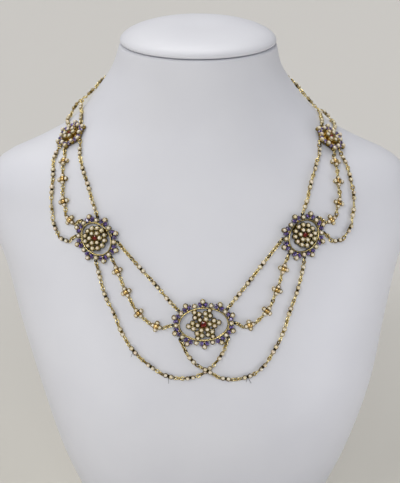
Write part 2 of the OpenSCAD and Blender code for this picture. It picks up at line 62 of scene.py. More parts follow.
# Medallions: turn, height, gap to the bust, spin, lean of the face, turn of the pearl cluster
CENTRE = (0.5, 135, 0.35, 2.5, (0, 0, 0), 5)
LEFT_SIDE = (-41, 174, 0.45, -45, (0, 0, 0), -8)
RIGHT_SIDE = (41, 175.5, 0.45, 225, (0, 0, 0), 5)
LEFT_ROSETTE = (-71.75, 217.4, 0.95, -5, (-0.025, -0.05, -0.04), 30)
RIGHT_ROSETTE = (71.9, 215.6, 1.2, -4, (0.05, -0.05, -0.05), 30)
HALF_AXES = {"centre": (12.5, 8.25), "side": (9, 7), "rosette": (4.6, 4.6)}
PLATE_T = 1.2
PEARL_R = 1.05
CUP_R = PEARL_R + 0.25
PEARL_RISE = 0.3
# Single pearls and the pearls of the trefoils lie this far outside a medallion's oval, eyes beyond
SINGLE_OFF = 1.45
TIP_OFF = 3.25
EYE_OFF = SINGLE_OFF + CUP_R + 0.45
TIP_EYE_OFF = TIP_OFF + CUP_R + 0.45
EYE_Z = 0.6
# Petals: half length, half width, place in the trefoil, the slant from its middle, and their pocket
PETAL_L = 1.5
PETAL_W = 1.0
PETAL_OFF = 1.65
PETAL_SIDE = 1.3
PETAL_SLANT = math.radians(40)
PETAL_SUNK = 0.4

# Chains: middle of the joining rings, then the stations between their eyes, with the chain's lift
LEFT_JOIN = (-94, 229, 2)
RIGHT_JOIN = (95, 224.5, 0)
CLASP_H = 243
LEFT_OUTER = [(-68, 209, 0), (-62.5, 202.5, 0), (-59.5, 195, 0), (-57.5, 186, 0), (-55.5, 178, 0),
              (-51.5, 172, 0)]
RIGHT_OUTER = [(67, 207, 0), (63.5, 200, 0), (61, 192, 0), (59, 184, 0), (56.5, 176.5, 0),
               (51.5, 171.5, 0)]
LEFT_INNER = [(-60, 212.5, 0), (-53, 205, 0), (-48.5, 198.5, 0), (-44.5, 190, 0)]
RIGHT_INNER = [(61, 212, 0), (55, 206.5, 0), (49.5, 199, 0), (45, 190.5, 0)]
LEFT_UPPER = [(-23.5, 161, 0), (-17.5, 153.5, 0), (-12.5, 146.5, 0)]
RIGHT_UPPER = [(24, 163, 0), (18.5, 155.5, 0), (13.5, 148.5, 0)]
LEFT_SWAG = [(-38, 157, 0), (-35, 146.5, 0), (-31.5, 138, 0), (-28.5, 129.5, 0), (-24, 120.5, 0),
             (-18, 113, 0), (-12, 108.5, 0), (-4.5, 108, 0), (1.5, 112, 0), (6.3, 119.2, 0)]
RIGHT_SWAG = [(38, 159.5, 0), (35, 149.5, 0), (31.5, 139.5, 0), (28.5, 129.5, 0), (25, 121, 0),
              (20.5, 112.5, 0), (15, 108, 0), (7.5, 107.5, 0.4), (1.5, 112, 2.1), (-3.9, 117.3, 0.6)]
LEFT_SHORT_OUTER = [(-94.5, 226.5, 2.5), (-95, 223.5, 2), (-93.5, 221, 0.3)]
LEFT_SHORT_INNER = [(-89, 227.5, 0.6), (-80.5, 226, 0)]
RIGHT_SHORT_OUTER = [(95.5, 221, 1), (93, 219, 0.2)]
RIGHT_SHORT_INNER = [(85, 223.5, 0)]
LEFT_BACK = [(-93.5, 231.5, 1.3), (-93.5, 234, 0.6), (-95, 236.5, 0), (-108, 240, 0), (-125, 242, 0),
             (-150, 243, 0)]
RIGHT_BACK = [(95, 227.5, 0.1), (94.5, 231, 0.2), (95.5, 234.5, 0), (108, 239, 0), (125, 242, 0),
              (150, 243, 0)]
LEFT_SHOULDER_FLOWERS = [(-62.5, 207.5, 0), (-58, 200.2, 0), (-54.5, 190.5, 0), (-51.2, 181.9, 0)]
RIGHT_SHOULDER_FLOWERS = [(63.3, 207, 0), (59, 199, 0), (55.6, 189.5, 0), (51.7, 181.9, 0)]
LEFT_FRONT_FLOWERS = [(-32, 159.5, 0), (-28, 149.5, 0), (-23, 139.5, 0), (-16.5, 133.5, 0)]
RIGHT_FRONT_FLOWERS = [(31.5, 160.5, 0), (28, 150.5, 0), (23.5, 140.5, 0), (17, 134, 0)]
CHAIN_LIFT = 1.15
FLOWER_R = 1.75
FLOWER_EYE = 3.35
RING_R = 1.5
RING_WIRE = 0.55
CLASP_REACH = 5.7

# Chain parts that the tubes of the source stand for
LINK_L = 2.75
LINK_W = 2.35
LINK_WIRE = 0.66
LINK_PLAY = 0.06
SHORTEST_STRETCH = 0.8
LOOP_R = 0.58
LOOP_WIRE = 0.17
STATION_PEARL = 1.42
STATION_PEARL_Z = 0.22
STATION_REACH = 3.0
STATION_LOOP_Z = -0.2
STATION_PITCH = 10.7
STATION_ROLL = 28
# Flowers lie lower than their chain's route; the rest is over their foot
FLOWER_Z = 0.3 - CHAIN_LIFT
FLOWER_LOOP_Z = 0.5
FLOWER_RIM_Z = 0.92
FLOWER_PEARL_Z = 1.15
FLOWER_BOSS_Z = 1.5
BOSS_R = 1.5
GRAIN_R = 0.2
# How bright links are painted: every second link lighter, as painted light, and those between darker, as
# painted shade
PAINTED_LIT_LINK, PAINTED_SHADED_LINK = 1.25, -0.05
ROUTE_STEPS = 300
FLOOR_HALF = 6.0


# Places on the bust

def smooth(rows, x, k):
    """Value k of the rows at x, on a smooth curve through them."""
    i = max([j for j in range(len(rows) - 1) if j == 0 or rows[j][0] <= x])

    def rise(j):
        return (rows[j + 1][k] - rows[j][k]) / (rows[j + 1][0] - rows[j][0])

    def slope(j):
        if j == 0:
            return rise(0)
        if j == len(rows) - 1:
            return rise(j - 1)
        return (rows[j + 1][k] - rows[j - 1][k]) / (rows[j + 1][0] - rows[j - 1][0])

    h = rows[i + 1][0] - rows[i][0]
    t = (x - rows[i][0]) / h
    return ((2 * t**3 - 3 * t**2 + 1) * rows[i][k] + (t**3 - 2 * t**2 + t) * h * slope(i)
            + (3 * t**2 - 2 * t**3) * rows[i + 1][k] + (t**3 - t**2) * h * slope(i + 1))


def on_bust(turn, z, inset=0):
    """Point of the bust's surface; the inset draws it in towards the axis."""
    a = math.radians(turn)
    depth = smooth(BUST, z, 2 if math.cos(a) > 0 else 3)
    n = smooth(BUST, z, 4)
    r = ((abs(math.sin(a)) / smooth(BUST, z, 1))**n + (abs(math.cos(a)) / depth)**n)**(-1 / n) - inset
    return Vector((smooth(BUST, z, 5) + r * math.sin(a), -r * math.cos(a), z))


def outward(turn, z):
    """Direction out of the bust's surface."""
    across = on_bust(turn + 0.2, z) - on_bust(turn - 0.2, z)
    return across.cross(on_bust(turn, z + 0.2) - on_bust(turn, z - 0.2)).normalized()


def height_over(p, q):
    """How far a point stands off the bust at the turn and height q."""
    return (p - on_bust(*q)).dot(outward(*q))


def turn_of(p):
    """Turn and height of a point, whether or not it lies on the bust."""
    return math.degrees(math.atan2(p.x - smooth(BUST, p.z, 5), -p.y)), p.z


def foot(p):
    """Turn and height of the place on the bust that lies under a point."""
    q = turn_of(p)
    for _ in range(5):
        q = turn_of(p - height_over(p, q) * outward(*q))
    return q


class Face:
    """Where a flat piece lies: its middle, the directions across and up it, and out of it."""

    def __init__(self, turn, height, gap, spin=0, lean=(0, 0, 0)):
        self.out = (outward(turn, height) + Vector(lean)).normalized()
        level = Vector((0, 0, 1)).cross(self.out).normalized()
        rise = self.out.cross(level)
        s = math.radians(spin)
        self.middle = on_bust(turn, height) + gap * self.out
        self.across = math.cos(s) * level + math.sin(s) * rise
        self.up = math.cos(s) * rise - math.sin(s) * level

    def at(self, x, y, z):
        return self.middle + x * self.across + y * self.up + z * self.out


def beside(kind, t, off, side=0):
    """Point off a medallion's oval at the angle t, and to the side along it."""
    a, b = HALF_AXES[kind]
    c, s = math.cos(math.radians(t)), math.sin(math.radians(t))
    n = Vector((c / a, s / b)).normalized()
    return Vector((a * c, b * s)) + off * n + side * Vector((-n.y, n.x))


def outward_angle(kind, t):
    """Direction out of a medallion's oval at the angle t, in radians."""
    a, b = HALF_AXES[kind]
    return math.atan2(math.sin(math.radians(t)) / b, math.cos(math.radians(t)) / a)


def singles(kind):
    """Angles of the single pearls between the trefoils."""
    return {"centre": [108 + 36 * i for i in range(10)], "side": [45 * i for i in range(8)],
            "rosette": [90 + 60 * i for i in range(6)]}[kind]


def trefoils(kind):
    """Angles of the trefoils, each a pearl over two petals."""
    return {"centre": [90 + 36 * i for i in range(10)], "side": [22.5 + 45 * i for i in range(8)],
            "rosette": [60 * i for i in range(6)]}[kind]


def border_places(kind):
    """Middles of the border's pearls."""
    return ([beside(kind, t, SINGLE_OFF) for t in singles(kind)]
            + [beside(kind, t, TIP_OFF) for t in trefoils(kind)])


def polar(r, a, x=0):
    """Point at a distance and angle from a middle that lies x to the side."""
    return Vector((x + r * math.cos(math.radians(a)), r * math.sin(math.radians(a))))


def cluster(kind, turn):
    """Pearls of the star or cluster and the height of their cups over the plates."""
    places = []
    for a in range(0, 360, 60):
        if kind == "centre":
            places += [(polar(3.05, a + turn), 1), (polar(5.55, a + turn - 14), 0.6),
                       (polar(5.55, a + turn + 14), 0.6), (polar(7.65, a + turn), 0.2)]
        elif kind == "side":
            places += [(polar(2.7, a + turn, -0.4), 1.2), (polar(5.2, a + turn - 15, -0.4), 0.6),
                       (polar(5.2, a + turn + 15, -0.4), 0.6)]
        else:
            places += [(polar(2.75, a + turn), 0.6)]
    return places


# Height of the star's or cluster's own plate over the frame's
STAR_Z = {"centre": 0.5, "side": 1, "rosette": 0.5}


class Route:
    """Smooth path of a chain over the bust, walked by its real length."""

    def __init__(self, rows, stations):
        runs, run = [], 0
        for i, row in enumerate(rows):
            if i:
                run += (on_bust(*row[:2]) - on_bust(*rows[i - 1][:2])).length
            runs.append((run, *row))
        self.rows = runs
        self.steps = [run * i / ROUTE_STEPS for i in range(ROUTE_STEPS + 1)]
        points = [self.point_at_run(s) for s in self.steps]
        self.lengths = [0]
        for a, b in zip(points, points[1:]):
            self.lengths.append(self.lengths[-1] + (b - a).length)
        self.total = self.lengths[-1]
        self.stations = [self.length_at(runs[i + 1][0]) for i in range(stations)]

    def point_at_run(self, s):
        turn, z = smooth(self.rows, s, 1), smooth(self.rows, s, 2)
        return on_bust(turn, z) + (CHAIN_LIFT + max(0, smooth(self.rows, s, 3))) * outward(turn, z)

    def length_at(self, run):
        i = min(int(run / self.steps[-1] * ROUTE_STEPS), ROUTE_STEPS - 1)
        part = (run - self.steps[i]) / (self.steps[i + 1] - self.steps[i])
        return self.lengths[i] + part * (self.lengths[i + 1] - self.lengths[i])

    def run_at(self, length):
        i = max(j for j in range(ROUTE_STEPS) if self.lengths[j] <= max(length, 0))
        part = (length - self.lengths[i]) / (self.lengths[i + 1] - self.lengths[i])
        return self.steps[i] + part * (self.steps[i + 1] - self.steps[i])

    def at(self, length, roll=0):
        """Middle, direction along, and direction out turned by roll about it."""
        s = self.run_at(min(max(length, 0), self.total))
        along = (self.point_at_run(min(s + 0.3, self.steps[-1]))
                 - self.point_at_run(max(s - 0.3, 0))).normalized()
        middle = self.point_at_run(s) + (length - min(max(length, 0), self.total)) * along
        out = outward(smooth(self.rows, s, 1), smooth(self.rows, s, 2))
        out = (out - out.dot(along) * along).normalized()
        return middle, along, Matrix.Rotation(math.radians(roll), 3, along) @ out


def from_eye(medallion, kind, t, off=EYE_OFF):
    """Row of a route that ends in a medallion's eye: its turn, height and lift."""
    q = beside(kind, t, off)
    p = Face(*medallion[:5]).at(q.x, q.y, EYE_Z)
    under = foot(p)
    return (*under, max(0, height_over(p, under) - CHAIN_LIFT))


# Nodes, materials and meshes

def node(tree, kind, inputs=None, **settings):
    """Adds a node. An input goes by its number, name or identifier and takes a value or an output."""
    made = tree.nodes.new(kind)
    for name, value in settings.items():
        setattr(made, name, value)
    for name, value in (inputs or {}).items():
        if isinstance(name, int):
            socket = made.inputs[name]
        else:
            socket = next(s for s in made.inputs if name in (s.identifier, s.name))
        if isinstance(value, bpy.types.NodeSocket):
            tree.links.new(value, socket)
        else:
            socket.default_value = value
    return made


def linear(hex_colour):
    """Colour value in linear light of an sRGB hex colour."""
    parts = [int(hex_colour[i:i + 2], 16) / 255 for i in (1, 3, 5)]
    return tuple(c / 12.92 if c <= 0.04045 else ((c + 0.055) / 1.055)**2.4 for c in parts) + (1,)


def material(name, **constants):
    """New material with these inputs, with its tree, its shader, and where a point lies in its piece."""
    made = bpy.data.materials.new(name)
    made.use_nodes = True
    tree = made.node_tree
    shader = tree.nodes["Principled BSDF"]
    for key, value in constants.items():
        shader.inputs[key.replace("_", " ")].default_value = value
    return made, tree, shader, node(tree, "ShaderNodeTexCoord").outputs["Object"]


def ramp(tree, factor, *stops):
    """Colour that runs through the stops, each a place from 0 to 1 and a colour."""
    made = node(tree, "ShaderNodeValToRGB", {"Fac": factor})
    bar = made.color_ramp
    bar.elements[0].position, bar.elements[0].color = stops[0][0], linear(stops[0][1])
    bar.elements[1].position, bar.elements[1].color = stops[-1][0], linear(stops[-1][1])
    for place, colour in stops[1:-1]:
        bar.elements.new(place).color = linear(colour)
    return made.outputs["Color"]


def maths(tree, operation, first, second, **settings):
    return node(tree, "ShaderNodeMath", {0: first, 1: second}, operation=operation, **settings).outputs[0]


def attribute(tree, name):
    return node(tree, "ShaderNodeAttribute", attribute_name=name).outputs["Fac"]


def noise(tree, place, scale, detail):
    """Soft noise from 0 to 1 that changes over 1 / scale metres."""
    return node(tree, "ShaderNodeTexNoise", {
        "Vector": place, "Scale": scale, "Detail": detail}).outputs["Fac"]


def spread(tree, value, start, end, low=0.0, high=1.0):
    """Turns values between start and end into values between low and high."""
    return node(tree, "ShaderNodeMapRange", {
        "Value": value, "From Min": start, "From Max": end, "To Min": low, "To Max": high}).outputs["Result"]


def bump(tree, height, strength, distance, **under):
    """Relief on a surface, as deep as distance in metres where its strength is 1."""
    return node(tree, "ShaderNodeBump", {
        "Height": height, "Strength": strength, "Distance": distance, **under}).outputs["Normal"]


def mixed(tree, factor, first, second):
    """Colour between two others."""
    return node(tree, "ShaderNodeMix", {"Factor_Float": factor, "A_Color": first, "B_Color": second},
                data_type="RGBA").outputs[2]


def make_leatherette():
    """White PVC leatherette stretched over a form: soft satin with a fine pebbled grain."""
    made, tree, shader, place = material("White leatherette", IOR=1.5, Coat_Weight=0.12,
                                         Coat_Roughness=0.38, Sheen_Weight=0.05)
    cloud = noise(tree, place, 22, 3)
    colour = ramp(tree, cloud, (0.3, "#DDDEE5"), (0.7, "#E2E3E9"))
    tree.links.new(colour, shader.inputs["Base Color"])
    # Pebbles of the grain are about 0.8 mm wide
    pebbles = node(tree, "ShaderNodeTexVoronoi", {"Vector": place, "Scale": 1 / 0.0008},
                   feature="SMOOTH_F1")
    grain = bump(tree, pebbles.outputs["Distance"], 0.25, 0.00004)
    # Padding under the cover leaves it very slightly uneven over 30 to 50 mm
    swollen = bump(tree, noise(tree, place, 26, 1), 0.5, 0.0008, Normal=grain)
    tree.links.new(swollen, shader.inputs["Normal"])
    tree.links.new(spread(tree, cloud, 0, 1, 0.46, 0.56), shader.inputs["Roughness"])
    return made


def make_gold(name, bright, mid_tone, dark, roughness):
    """Polished yellow gold of about 15 carat, with painted light: painted highlights on the rims and
    painted shade, dull and dark, in the recesses. The attribute lift says how far a point stands above
    its plate and carries that painted shade, tint varies copy by copy, and shade makes whole copies
    lighter or darker as painted light or painted shade."""
    made, tree, shader, place = material(name, Metallic=1.0)
    # Wear and tarnish change over about 2 mm
    wear = noise(tree, place, 500, 4)
    full_tone = 2.6
    # Lift and shade add painted light and painted shade to the gold's own wear and tint
    tone_with_painted_light = attribute(tree, "lift")
    for share in (wear, attribute(tree, "tint"), attribute(tree, "shade")):
        tone_with_painted_light = maths(tree, "ADD", tone_with_painted_light, share)
    colour = ramp(tree, maths(tree, "DIVIDE", tone_with_painted_light, full_tone),
                  (0.2, dark), (0.46, mid_tone), (0.78, bright))
    tree.links.new(colour, shader.inputs["Base Color"])
    gloss = spread(tree, wear, 0.3, 0.7, roughness - 0.06, roughness + 0.1)
    tree.links.new(gloss, shader.inputs["Roughness"])
    # Hand polishing leaves dents about 0.4 mm wide
    dents = noise(tree, place, 1 / 0.0004, 1)
    tree.links.new(bump(tree, dents, 0.3, 0.00004), shader.inputs["Normal"])
    return made


def make_pearl():
    """Natural seed pearl: cream nacre with a soft lustre, each a little different in colour. Its foot,
    where the attribute lift is low, is painted brown, partly as old dirt and partly as painted shade of its
    cup."""
    made, tree, shader, place = material(
        "Seed pearl", Roughness=0.24, IOR=1.6, Coat_Weight=1.0, Coat_Roughness=0.12,
        Subsurface_Weight=0.06, Subsurface_Scale=0.0004)
    # Spots on the nacre are about 1 mm wide
    spots = noise(tree, place, 900, 2)
    nacre = ramp(tree, attribute(tree, "tint"),
                 (0, "#F0E2B8"), (0.35, "#FCF1D8"), (0.7, "#FFFBF0"), (1, "#FBEADA"))
    spotted = mixed(tree, spots, nacre, linear("#DCCBA0"))
    # Brown foot: partly old dirt, partly painted shade of the cup
    free_of_dirt_and_painted_shade = spread(tree, attribute(tree, "lift"), 0, 0.85)
    tree.links.new(mixed(tree, free_of_dirt_and_painted_shade, linear("#5E4A22"), spotted), shader.inputs["Base Color"])
    return made


def make_stone(name, ior, deep, clear, roughness, see_through):
    """Cut stone: glossy facets over a deep colour, with painted flashes of clearer colour standing for its
    sparkle, that lets a little light in.
    """
    made, tree, shader, place = material(name, IOR=ior, Roughness=roughness, Coat_Weight=1.0,
                                         Coat_Roughness=0.03, Transmission_Weight=see_through)
    # Painted flashes of light inside a stone are about 0.7 mm wide
    inside = noise(tree, place, 1 / 0.0007, 2)
    tree.links.new(ramp(tree, inside, (0.42, deep), (0.68, clear)), shader.inputs["Base Color"])
    return made


leatherette = make_leatherette()
gold = make_gold("Polished yellow gold", "#F5E5AC", "#A98E47", "#33260B", 0.2)
honey_gold = make_gold("Honey gold bosses", "#DDBC7C", "#927036", "#2A1D0A", 0.26)
pearl = make_pearl()
violet_stone = make_stone("Amethyst", 1.544, "#0F0726", "#8A70C8", 0.05, 0.05)
red_stone = make_stone("Garnet", 1.76, "#420502", "#A01C0C", 0.08, 0.1)


def placed(name, data):
    """New object of the scene with these data."""
    made = bpy.data.objects.new(name, data)
    bpy.context.scene.collection.objects.link(made)
    return made


def piece(name, mesh, slot, finish, *nodes):
    """Makes a finished piece of a mesh that is drawn in metres, in its place."""
    made = placed(name, mesh)
    mesh.materials.clear()
    mesh.materials.append(finish)
    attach(made, "root")
    if nodes:
        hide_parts(*nodes)
    return made


def store(mesh, name, kind, values):
    """Gives every point of a mesh its value of an attribute."""
    data = mesh.attributes.new(name, kind, "POINT").data
    data.foreach_set("vector" if kind == "FLOAT_VECTOR" else "value", values)


def mesh_of(name, points, faces, lift=None):
    """Smooth mesh from points in millimetres, with one value of the attribute lift for all of them."""
    mesh = bpy.data.meshes.new(name)
    mesh.from_pydata([Vector(p) * MM for p in points], [], faces)
    mesh.validate()
    mesh.shade_smooth()
    if lift is not None:
        store(mesh, "lift", "FLOAT", [lift] * len(points))
    return mesh


def smoothed(node_name, face=None, depth=1, shade=0.0):
    """Copy of a CAD node's mesh with shared points and smooth curved faces. Its lift grows over the
    face up to the depth, and shade is added to it; the gold paints low lift darker, as painted shade
    in the recesses. Without a face it is full everywhere."""
    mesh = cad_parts[node_name].data.copy()
    if "custom_normal" in mesh.attributes:
        mesh.attributes.remove(mesh.attributes["custom_normal"])
    work = bmesh.new()
    work.from_mesh(mesh)
    bmesh.ops.remove_doubles(work, verts=work.verts, dist=1e-6)
    work.to_mesh(mesh)
    work.free()
    mesh.shade_smooth()
    mesh.set_sharp_from_angle(angle=math.radians(32))
    lift = [1.0] * len(mesh.vertices)
    if face is not None:
        heights = [(v.co / MM - face.middle).dot(face.out) / depth for v in mesh.vertices]
        lift = [min(max(height, 0), 1) * 0.8 + shade for height in heights]
    store(mesh, "lift", "FLOAT", lift)
    return mesh


# Geometry Nodes trees for what repeats

def tree_with(name, sizes):
    """Empty tree with geometry in and out and a named input for each size."""
    tree = bpy.data.node_groups.new(name, "GeometryNodeTree")
    tree.interface.new_socket("Geometry", in_out="INPUT", socket_type="NodeSocketGeometry")
    for label, value in sizes.items():
        kind = "NodeSocketInt" if isinstance(value, int) else "NodeSocketFloat"
        tree.interface.new_socket(label, in_out="INPUT", socket_type=kind).default_value = value
    tree.interface.new_socket("Geometry", in_out="OUTPUT", socket_type="NodeSocketGeometry")
    return tree, tree.nodes.new("NodeGroupInput").outputs


def repeat_on_points(tree, given, shape, finish, seed):
    """Puts shape on every point, turned and sized by the point's attributes, each with its own tint."""
    turn = node(tree, "GeometryNodeInputNamedAttribute", {"Name": "turn"}, data_type="FLOAT_VECTOR")
    turned = node(tree, "FunctionNodeEulerToRotation", {"Euler": turn.outputs["Attribute"]})
    size = node(tree, "GeometryNodeInputNamedAttribute", {"Name": "size"}, data_type="FLOAT_VECTOR")
    copies = node(tree, "GeometryNodeInstanceOnPoints", {
        "Points": given["Geometry"], "Instance": shape, "Rotation": turned.outputs["Rotation"],
        "Scale": size.outputs["Attribute"]})
    chance = node(tree, "FunctionNodeRandomValue", {"Seed": seed}, data_type="FLOAT")
    tinted = node(tree, "GeometryNodeStoreNamedAttribute", {
        "Geometry": copies.outputs["Instances"], "Name": "tint", "Value": chance.outputs[1]},
        data_type="FLOAT", domain="INSTANCE")
    real = node(tree, "GeometryNodeRealizeInstances", {"Geometry": tinted.outputs["Geometry"]})
    done = node(tree, "GeometryNodeSetMaterial", {"Geometry": real.outputs["Geometry"], "Material": finish})
    node(tree, "NodeGroupOutput", {"Geometry": done.outputs["Geometry"]})
    return tree


def lifted(tree, geometry, value):
    """Stores the attribute lift on a shape's points."""
    return node(tree, "GeometryNodeStoreNamedAttribute", {
        "Geometry": geometry, "Name": "lift", "Value": value},
        data_type="FLOAT", domain="POINT").outputs["Geometry"]


def moved(tree, geometry, place=(0, 0, 0), turn=(0, 0, 0), size=(1, 1, 1)):
    return node(tree, "GeometryNodeTransform", {
        "Geometry": geometry, "Translation": place, "Rotation": turn, "Scale": size}).outputs["Geometry"]


def joined(tree, *shapes):
    made = tree.nodes.new("GeometryNodeJoinGeometry")
    for shape in shapes:
        tree.links.new(shape, made.inputs["Geometry"])
    return made.outputs["Geometry"]


def position(tree):
    return tree.nodes.new("GeometryNodeInputPosition").outputs[0]


def smooth_shaded(tree, geometry):
    return node(tree, "GeometryNodeSetShadeSmooth", {"Geometry": geometry}).outputs["Geometry"]


def wire_ring(tree, radius, wire, sides=14, wire_sides=6, size=(1, 1, 1), bright=0.8):
    """Closed loop of round wire; size makes the loop oval before the wire is swept. It is painted
    bright on its outside, a painted highlight, and dark inside the loop, painted shade between its wires."""
    loop = node(tree, "GeometryNodeCurvePrimitiveCircle", {"Resolution": sides, "Radius": radius})
    oval = moved(tree, loop.outputs["Curve"], size=size)
    section = node(tree, "GeometryNodeCurvePrimitiveCircle", {"Resolution": wire_sides, "Radius": wire})
    swept = node(tree, "GeometryNodeCurveToMesh", {"Curve": oval, "Profile Curve": section.outputs["Curve"]})
    away = node(tree, "ShaderNodeVectorMath", {0: position(tree)}, operation="NORMALIZE")
    facing = node(tree, "ShaderNodeVectorMath", {
        0: away.outputs["Vector"], 1: tree.nodes.new("GeometryNodeInputNormal").outputs[0]},
        operation="DOT_PRODUCT")
    # Painted highlight where the wire faces out of the loop, painted shade where it faces in
    tone_with_painted_light = spread(tree, facing.outputs["Value"], -0.5, 0.9, -0.4, bright)
    return lifted(tree, smooth_shaded(tree, swept.outputs["Mesh"]), tone_with_painted_light)


def grains_on_circle(tree, count, radius, grain_radius):
    """Small balls of metal spaced round a circle."""
    circle = node(tree, "GeometryNodeCurvePrimitiveCircle", {"Resolution": count, "Radius": radius})
    spots = node(tree, "GeometryNodeCurveToPoints", {"Curve": circle.outputs["Curve"]}, mode="EVALUATED")
    grain = node(tree, "GeometryNodeMeshIcoSphere", {"Radius": grain_radius, "Subdivisions": 1})
    grains = node(tree, "GeometryNodeInstanceOnPoints", {
        "Points": spots.outputs["Points"], "Instance": smooth_shaded(tree, grain.outputs["Mesh"])})
    return node(tree, "GeometryNodeRealizeInstances", {
        "Geometry": grains.outputs["Instances"]}).outputs["Geometry"]


def at_both_ends(tree, shape, reach, height=0):
    return [moved(tree, shape, place=(side * reach * MM, 0, height * MM)) for side in (-1, 1)]


def make_pearl_tree(sides, rings, seed):
    """Pearl whose lift grows from nothing at its middle to one at its top, so that its lower half
    takes the painted shade and dirt of its foot.
    """
    tree, given = tree_with("Pearls on points", {"Pearl radius": PEARL_R * MM})
    ball = node(tree, "GeometryNodeMeshUVSphere", {
        "Segments": sides, "Rings": rings, "Radius": given["Pearl radius"]})
    height = node(tree, "ShaderNodeSeparateXYZ", {"Vector": position(tree)}).outputs["Z"]
    part = maths(tree, "DIVIDE", height, given["Pearl radius"], use_clamp=True)
    whole = lifted(tree, smooth_shaded(tree, ball.outputs["Mesh"]), part)
    return repeat_on_points(tree, given, whole, pearl, seed)


def make_rim_tree(seed):
    """Rolled rim round a pearl, with grains pushed up from it that hold the pearl."""
    tree, given = tree_with("Rims and grains on points", {
        "Rim radius": 1.13 * MM, "Rim wire": 0.12 * MM, "Grain radius": 0.19 * MM, "Grains": 6})
    rim = wire_ring(tree, given["Rim radius"], given["Rim wire"], 16, 6)
    grains = grains_on_circle(tree, given["Grains"], given["Rim radius"], given["Grain radius"])
    raised = moved(tree, grains, place=(0, 0, 0.14 * MM))
    # The raised grains get a high lift: painted highlights
    return repeat_on_points(tree, given, joined(tree, rim, lifted(tree, raised, 0.9)), gold, seed)


def make_link_tree(seed):
    """Oval link of round wire, drawn along x. The oval is scaled before its wire is swept."""
    tree, given = tree_with("Links on points", {
        "Link length": LINK_L * MM, "Link width": LINK_W * MM, "Wire": LINK_WIRE * MM})
    size = node(tree, "ShaderNodeCombineXYZ", {
        "X": maths(tree, "SUBTRACT", given["Link length"], given["Wire"]),
        "Y": maths(tree, "SUBTRACT", given["Link width"], given["Wire"]), "Z": 1.0})
    half_wire = maths(tree, "MULTIPLY", given["Wire"], 0.5)
    link = wire_ring(tree, 0.5, half_wire, 12, 5, size.outputs["Vector"], bright=0.35)
    return repeat_on_points(tree, given, link, gold, seed)


def make_station_tree(seed):
    """Two pearl cups joined by a collar painted dark, as painted shade between them, with a loop at each end,
    drawn along x.
    """
    cup_depth = 0.75 * MM
    tree, given = tree_with("Stations on points", {
        "Cup radius": 1.1 * MM, "Cup foot": 0.6 * MM, "Cup depth": cup_depth, "Cup wire": 0.14 * MM,
        "Loop radius": LOOP_R * MM, "Loop wire": LOOP_WIRE * MM,
        "Claw circle": 1.12 * MM, "Claw radius": 0.24 * MM,
        "Collar radius": 0.82 * MM, "Collar length": 1.1 * MM})
    cup = node(tree, "GeometryNodeMeshCone", {
        "Vertices": 14, "Radius Top": given["Cup radius"], "Radius Bottom": given["Cup foot"],
        "Depth": given["Cup depth"]})
    cup = moved(tree, smooth_shaded(tree, cup.outputs["Mesh"]), place=(0, 0, -cup_depth))
    rim = wire_ring(tree, given["Cup radius"], given["Cup wire"], 14, 5, bright=0.4)
    claws = grains_on_circle(tree, 4, given["Claw circle"], given["Claw radius"])
    claws = moved(tree, claws, place=(0, 0, 0.12 * MM), turn=(0, 0, math.pi / 4))
    # Cup walls are painted dark and claws bright: painted shade and painted highlights
    cup = joined(tree, lifted(tree, cup, 0.1), rim, lifted(tree, claws, 1.0))
    collar = node(tree, "GeometryNodeMeshCylinder", {
        "Vertices": 14, "Radius": given["Collar radius"], "Depth": given["Collar length"]})
    collar = moved(tree, smooth_shaded(tree, collar.outputs["Mesh"]), place=(0, 0, -0.1 * MM),
                   turn=(0, math.pi / 2, 0))
    loop = wire_ring(tree, given["Loop radius"], given["Loop wire"], 12, 5)
    # The collar's low lift paints it dark: painted shade between the cups
    whole = joined(tree, lifted(tree, collar, -0.6), *at_both_ends(tree, cup, STATION_PEARL),
                   *at_both_ends(tree, loop, STATION_REACH, STATION_LOOP_Z))
    return repeat_on_points(tree, given, whole, gold, seed)


def make_flower_tree(seed):
    """Quatrefoil plate with four pearl cups and a loop at each end, drawn along x."""
    disc_depth = 0.8 * MM
    tree, given = tree_with("Flower plates on points", {
        "Cup radius": 1.2 * MM, "Cup foot": 0.95 * MM, "Plate": 0.9 * MM, "Disc radius": 1.3 * MM,
        "Disc depth": disc_depth, "Loop radius": LOOP_R * MM, "Loop wire": LOOP_WIRE * MM})
    cup = node(tree, "GeometryNodeMeshCone", {
        "Vertices": 16, "Radius Top": given["Cup radius"], "Radius Bottom": given["Cup foot"],
        "Depth": given["Plate"]})
    # Cups and disc get a low lift: painted shade under the pearls
    cup = lifted(tree, smooth_shaded(tree, cup.outputs["Mesh"]), 0.15)
    disc = node(tree, "GeometryNodeMeshCylinder", {
        "Vertices": 16, "Radius": given["Disc radius"], "Depth": given["Disc depth"]})
    shapes = [lifted(tree, moved(tree, disc.outputs["Mesh"], place=(0, 0, disc_depth / 2)), 0.1)]
    for x, y in ((1, 0), (0, 1), (-1, 0), (0, -1)):
        shapes.append(moved(tree, cup, place=(FLOWER_R * x * MM, FLOWER_R * y * MM, 0)))
    loop = wire_ring(tree, given["Loop radius"], given["Loop wire"], 12, 5)
    shapes += at_both_ends(tree, loop, FLOWER_EYE, FLOWER_LOOP_Z)
    return repeat_on_points(tree, given, joined(tree, *shapes), gold, seed)


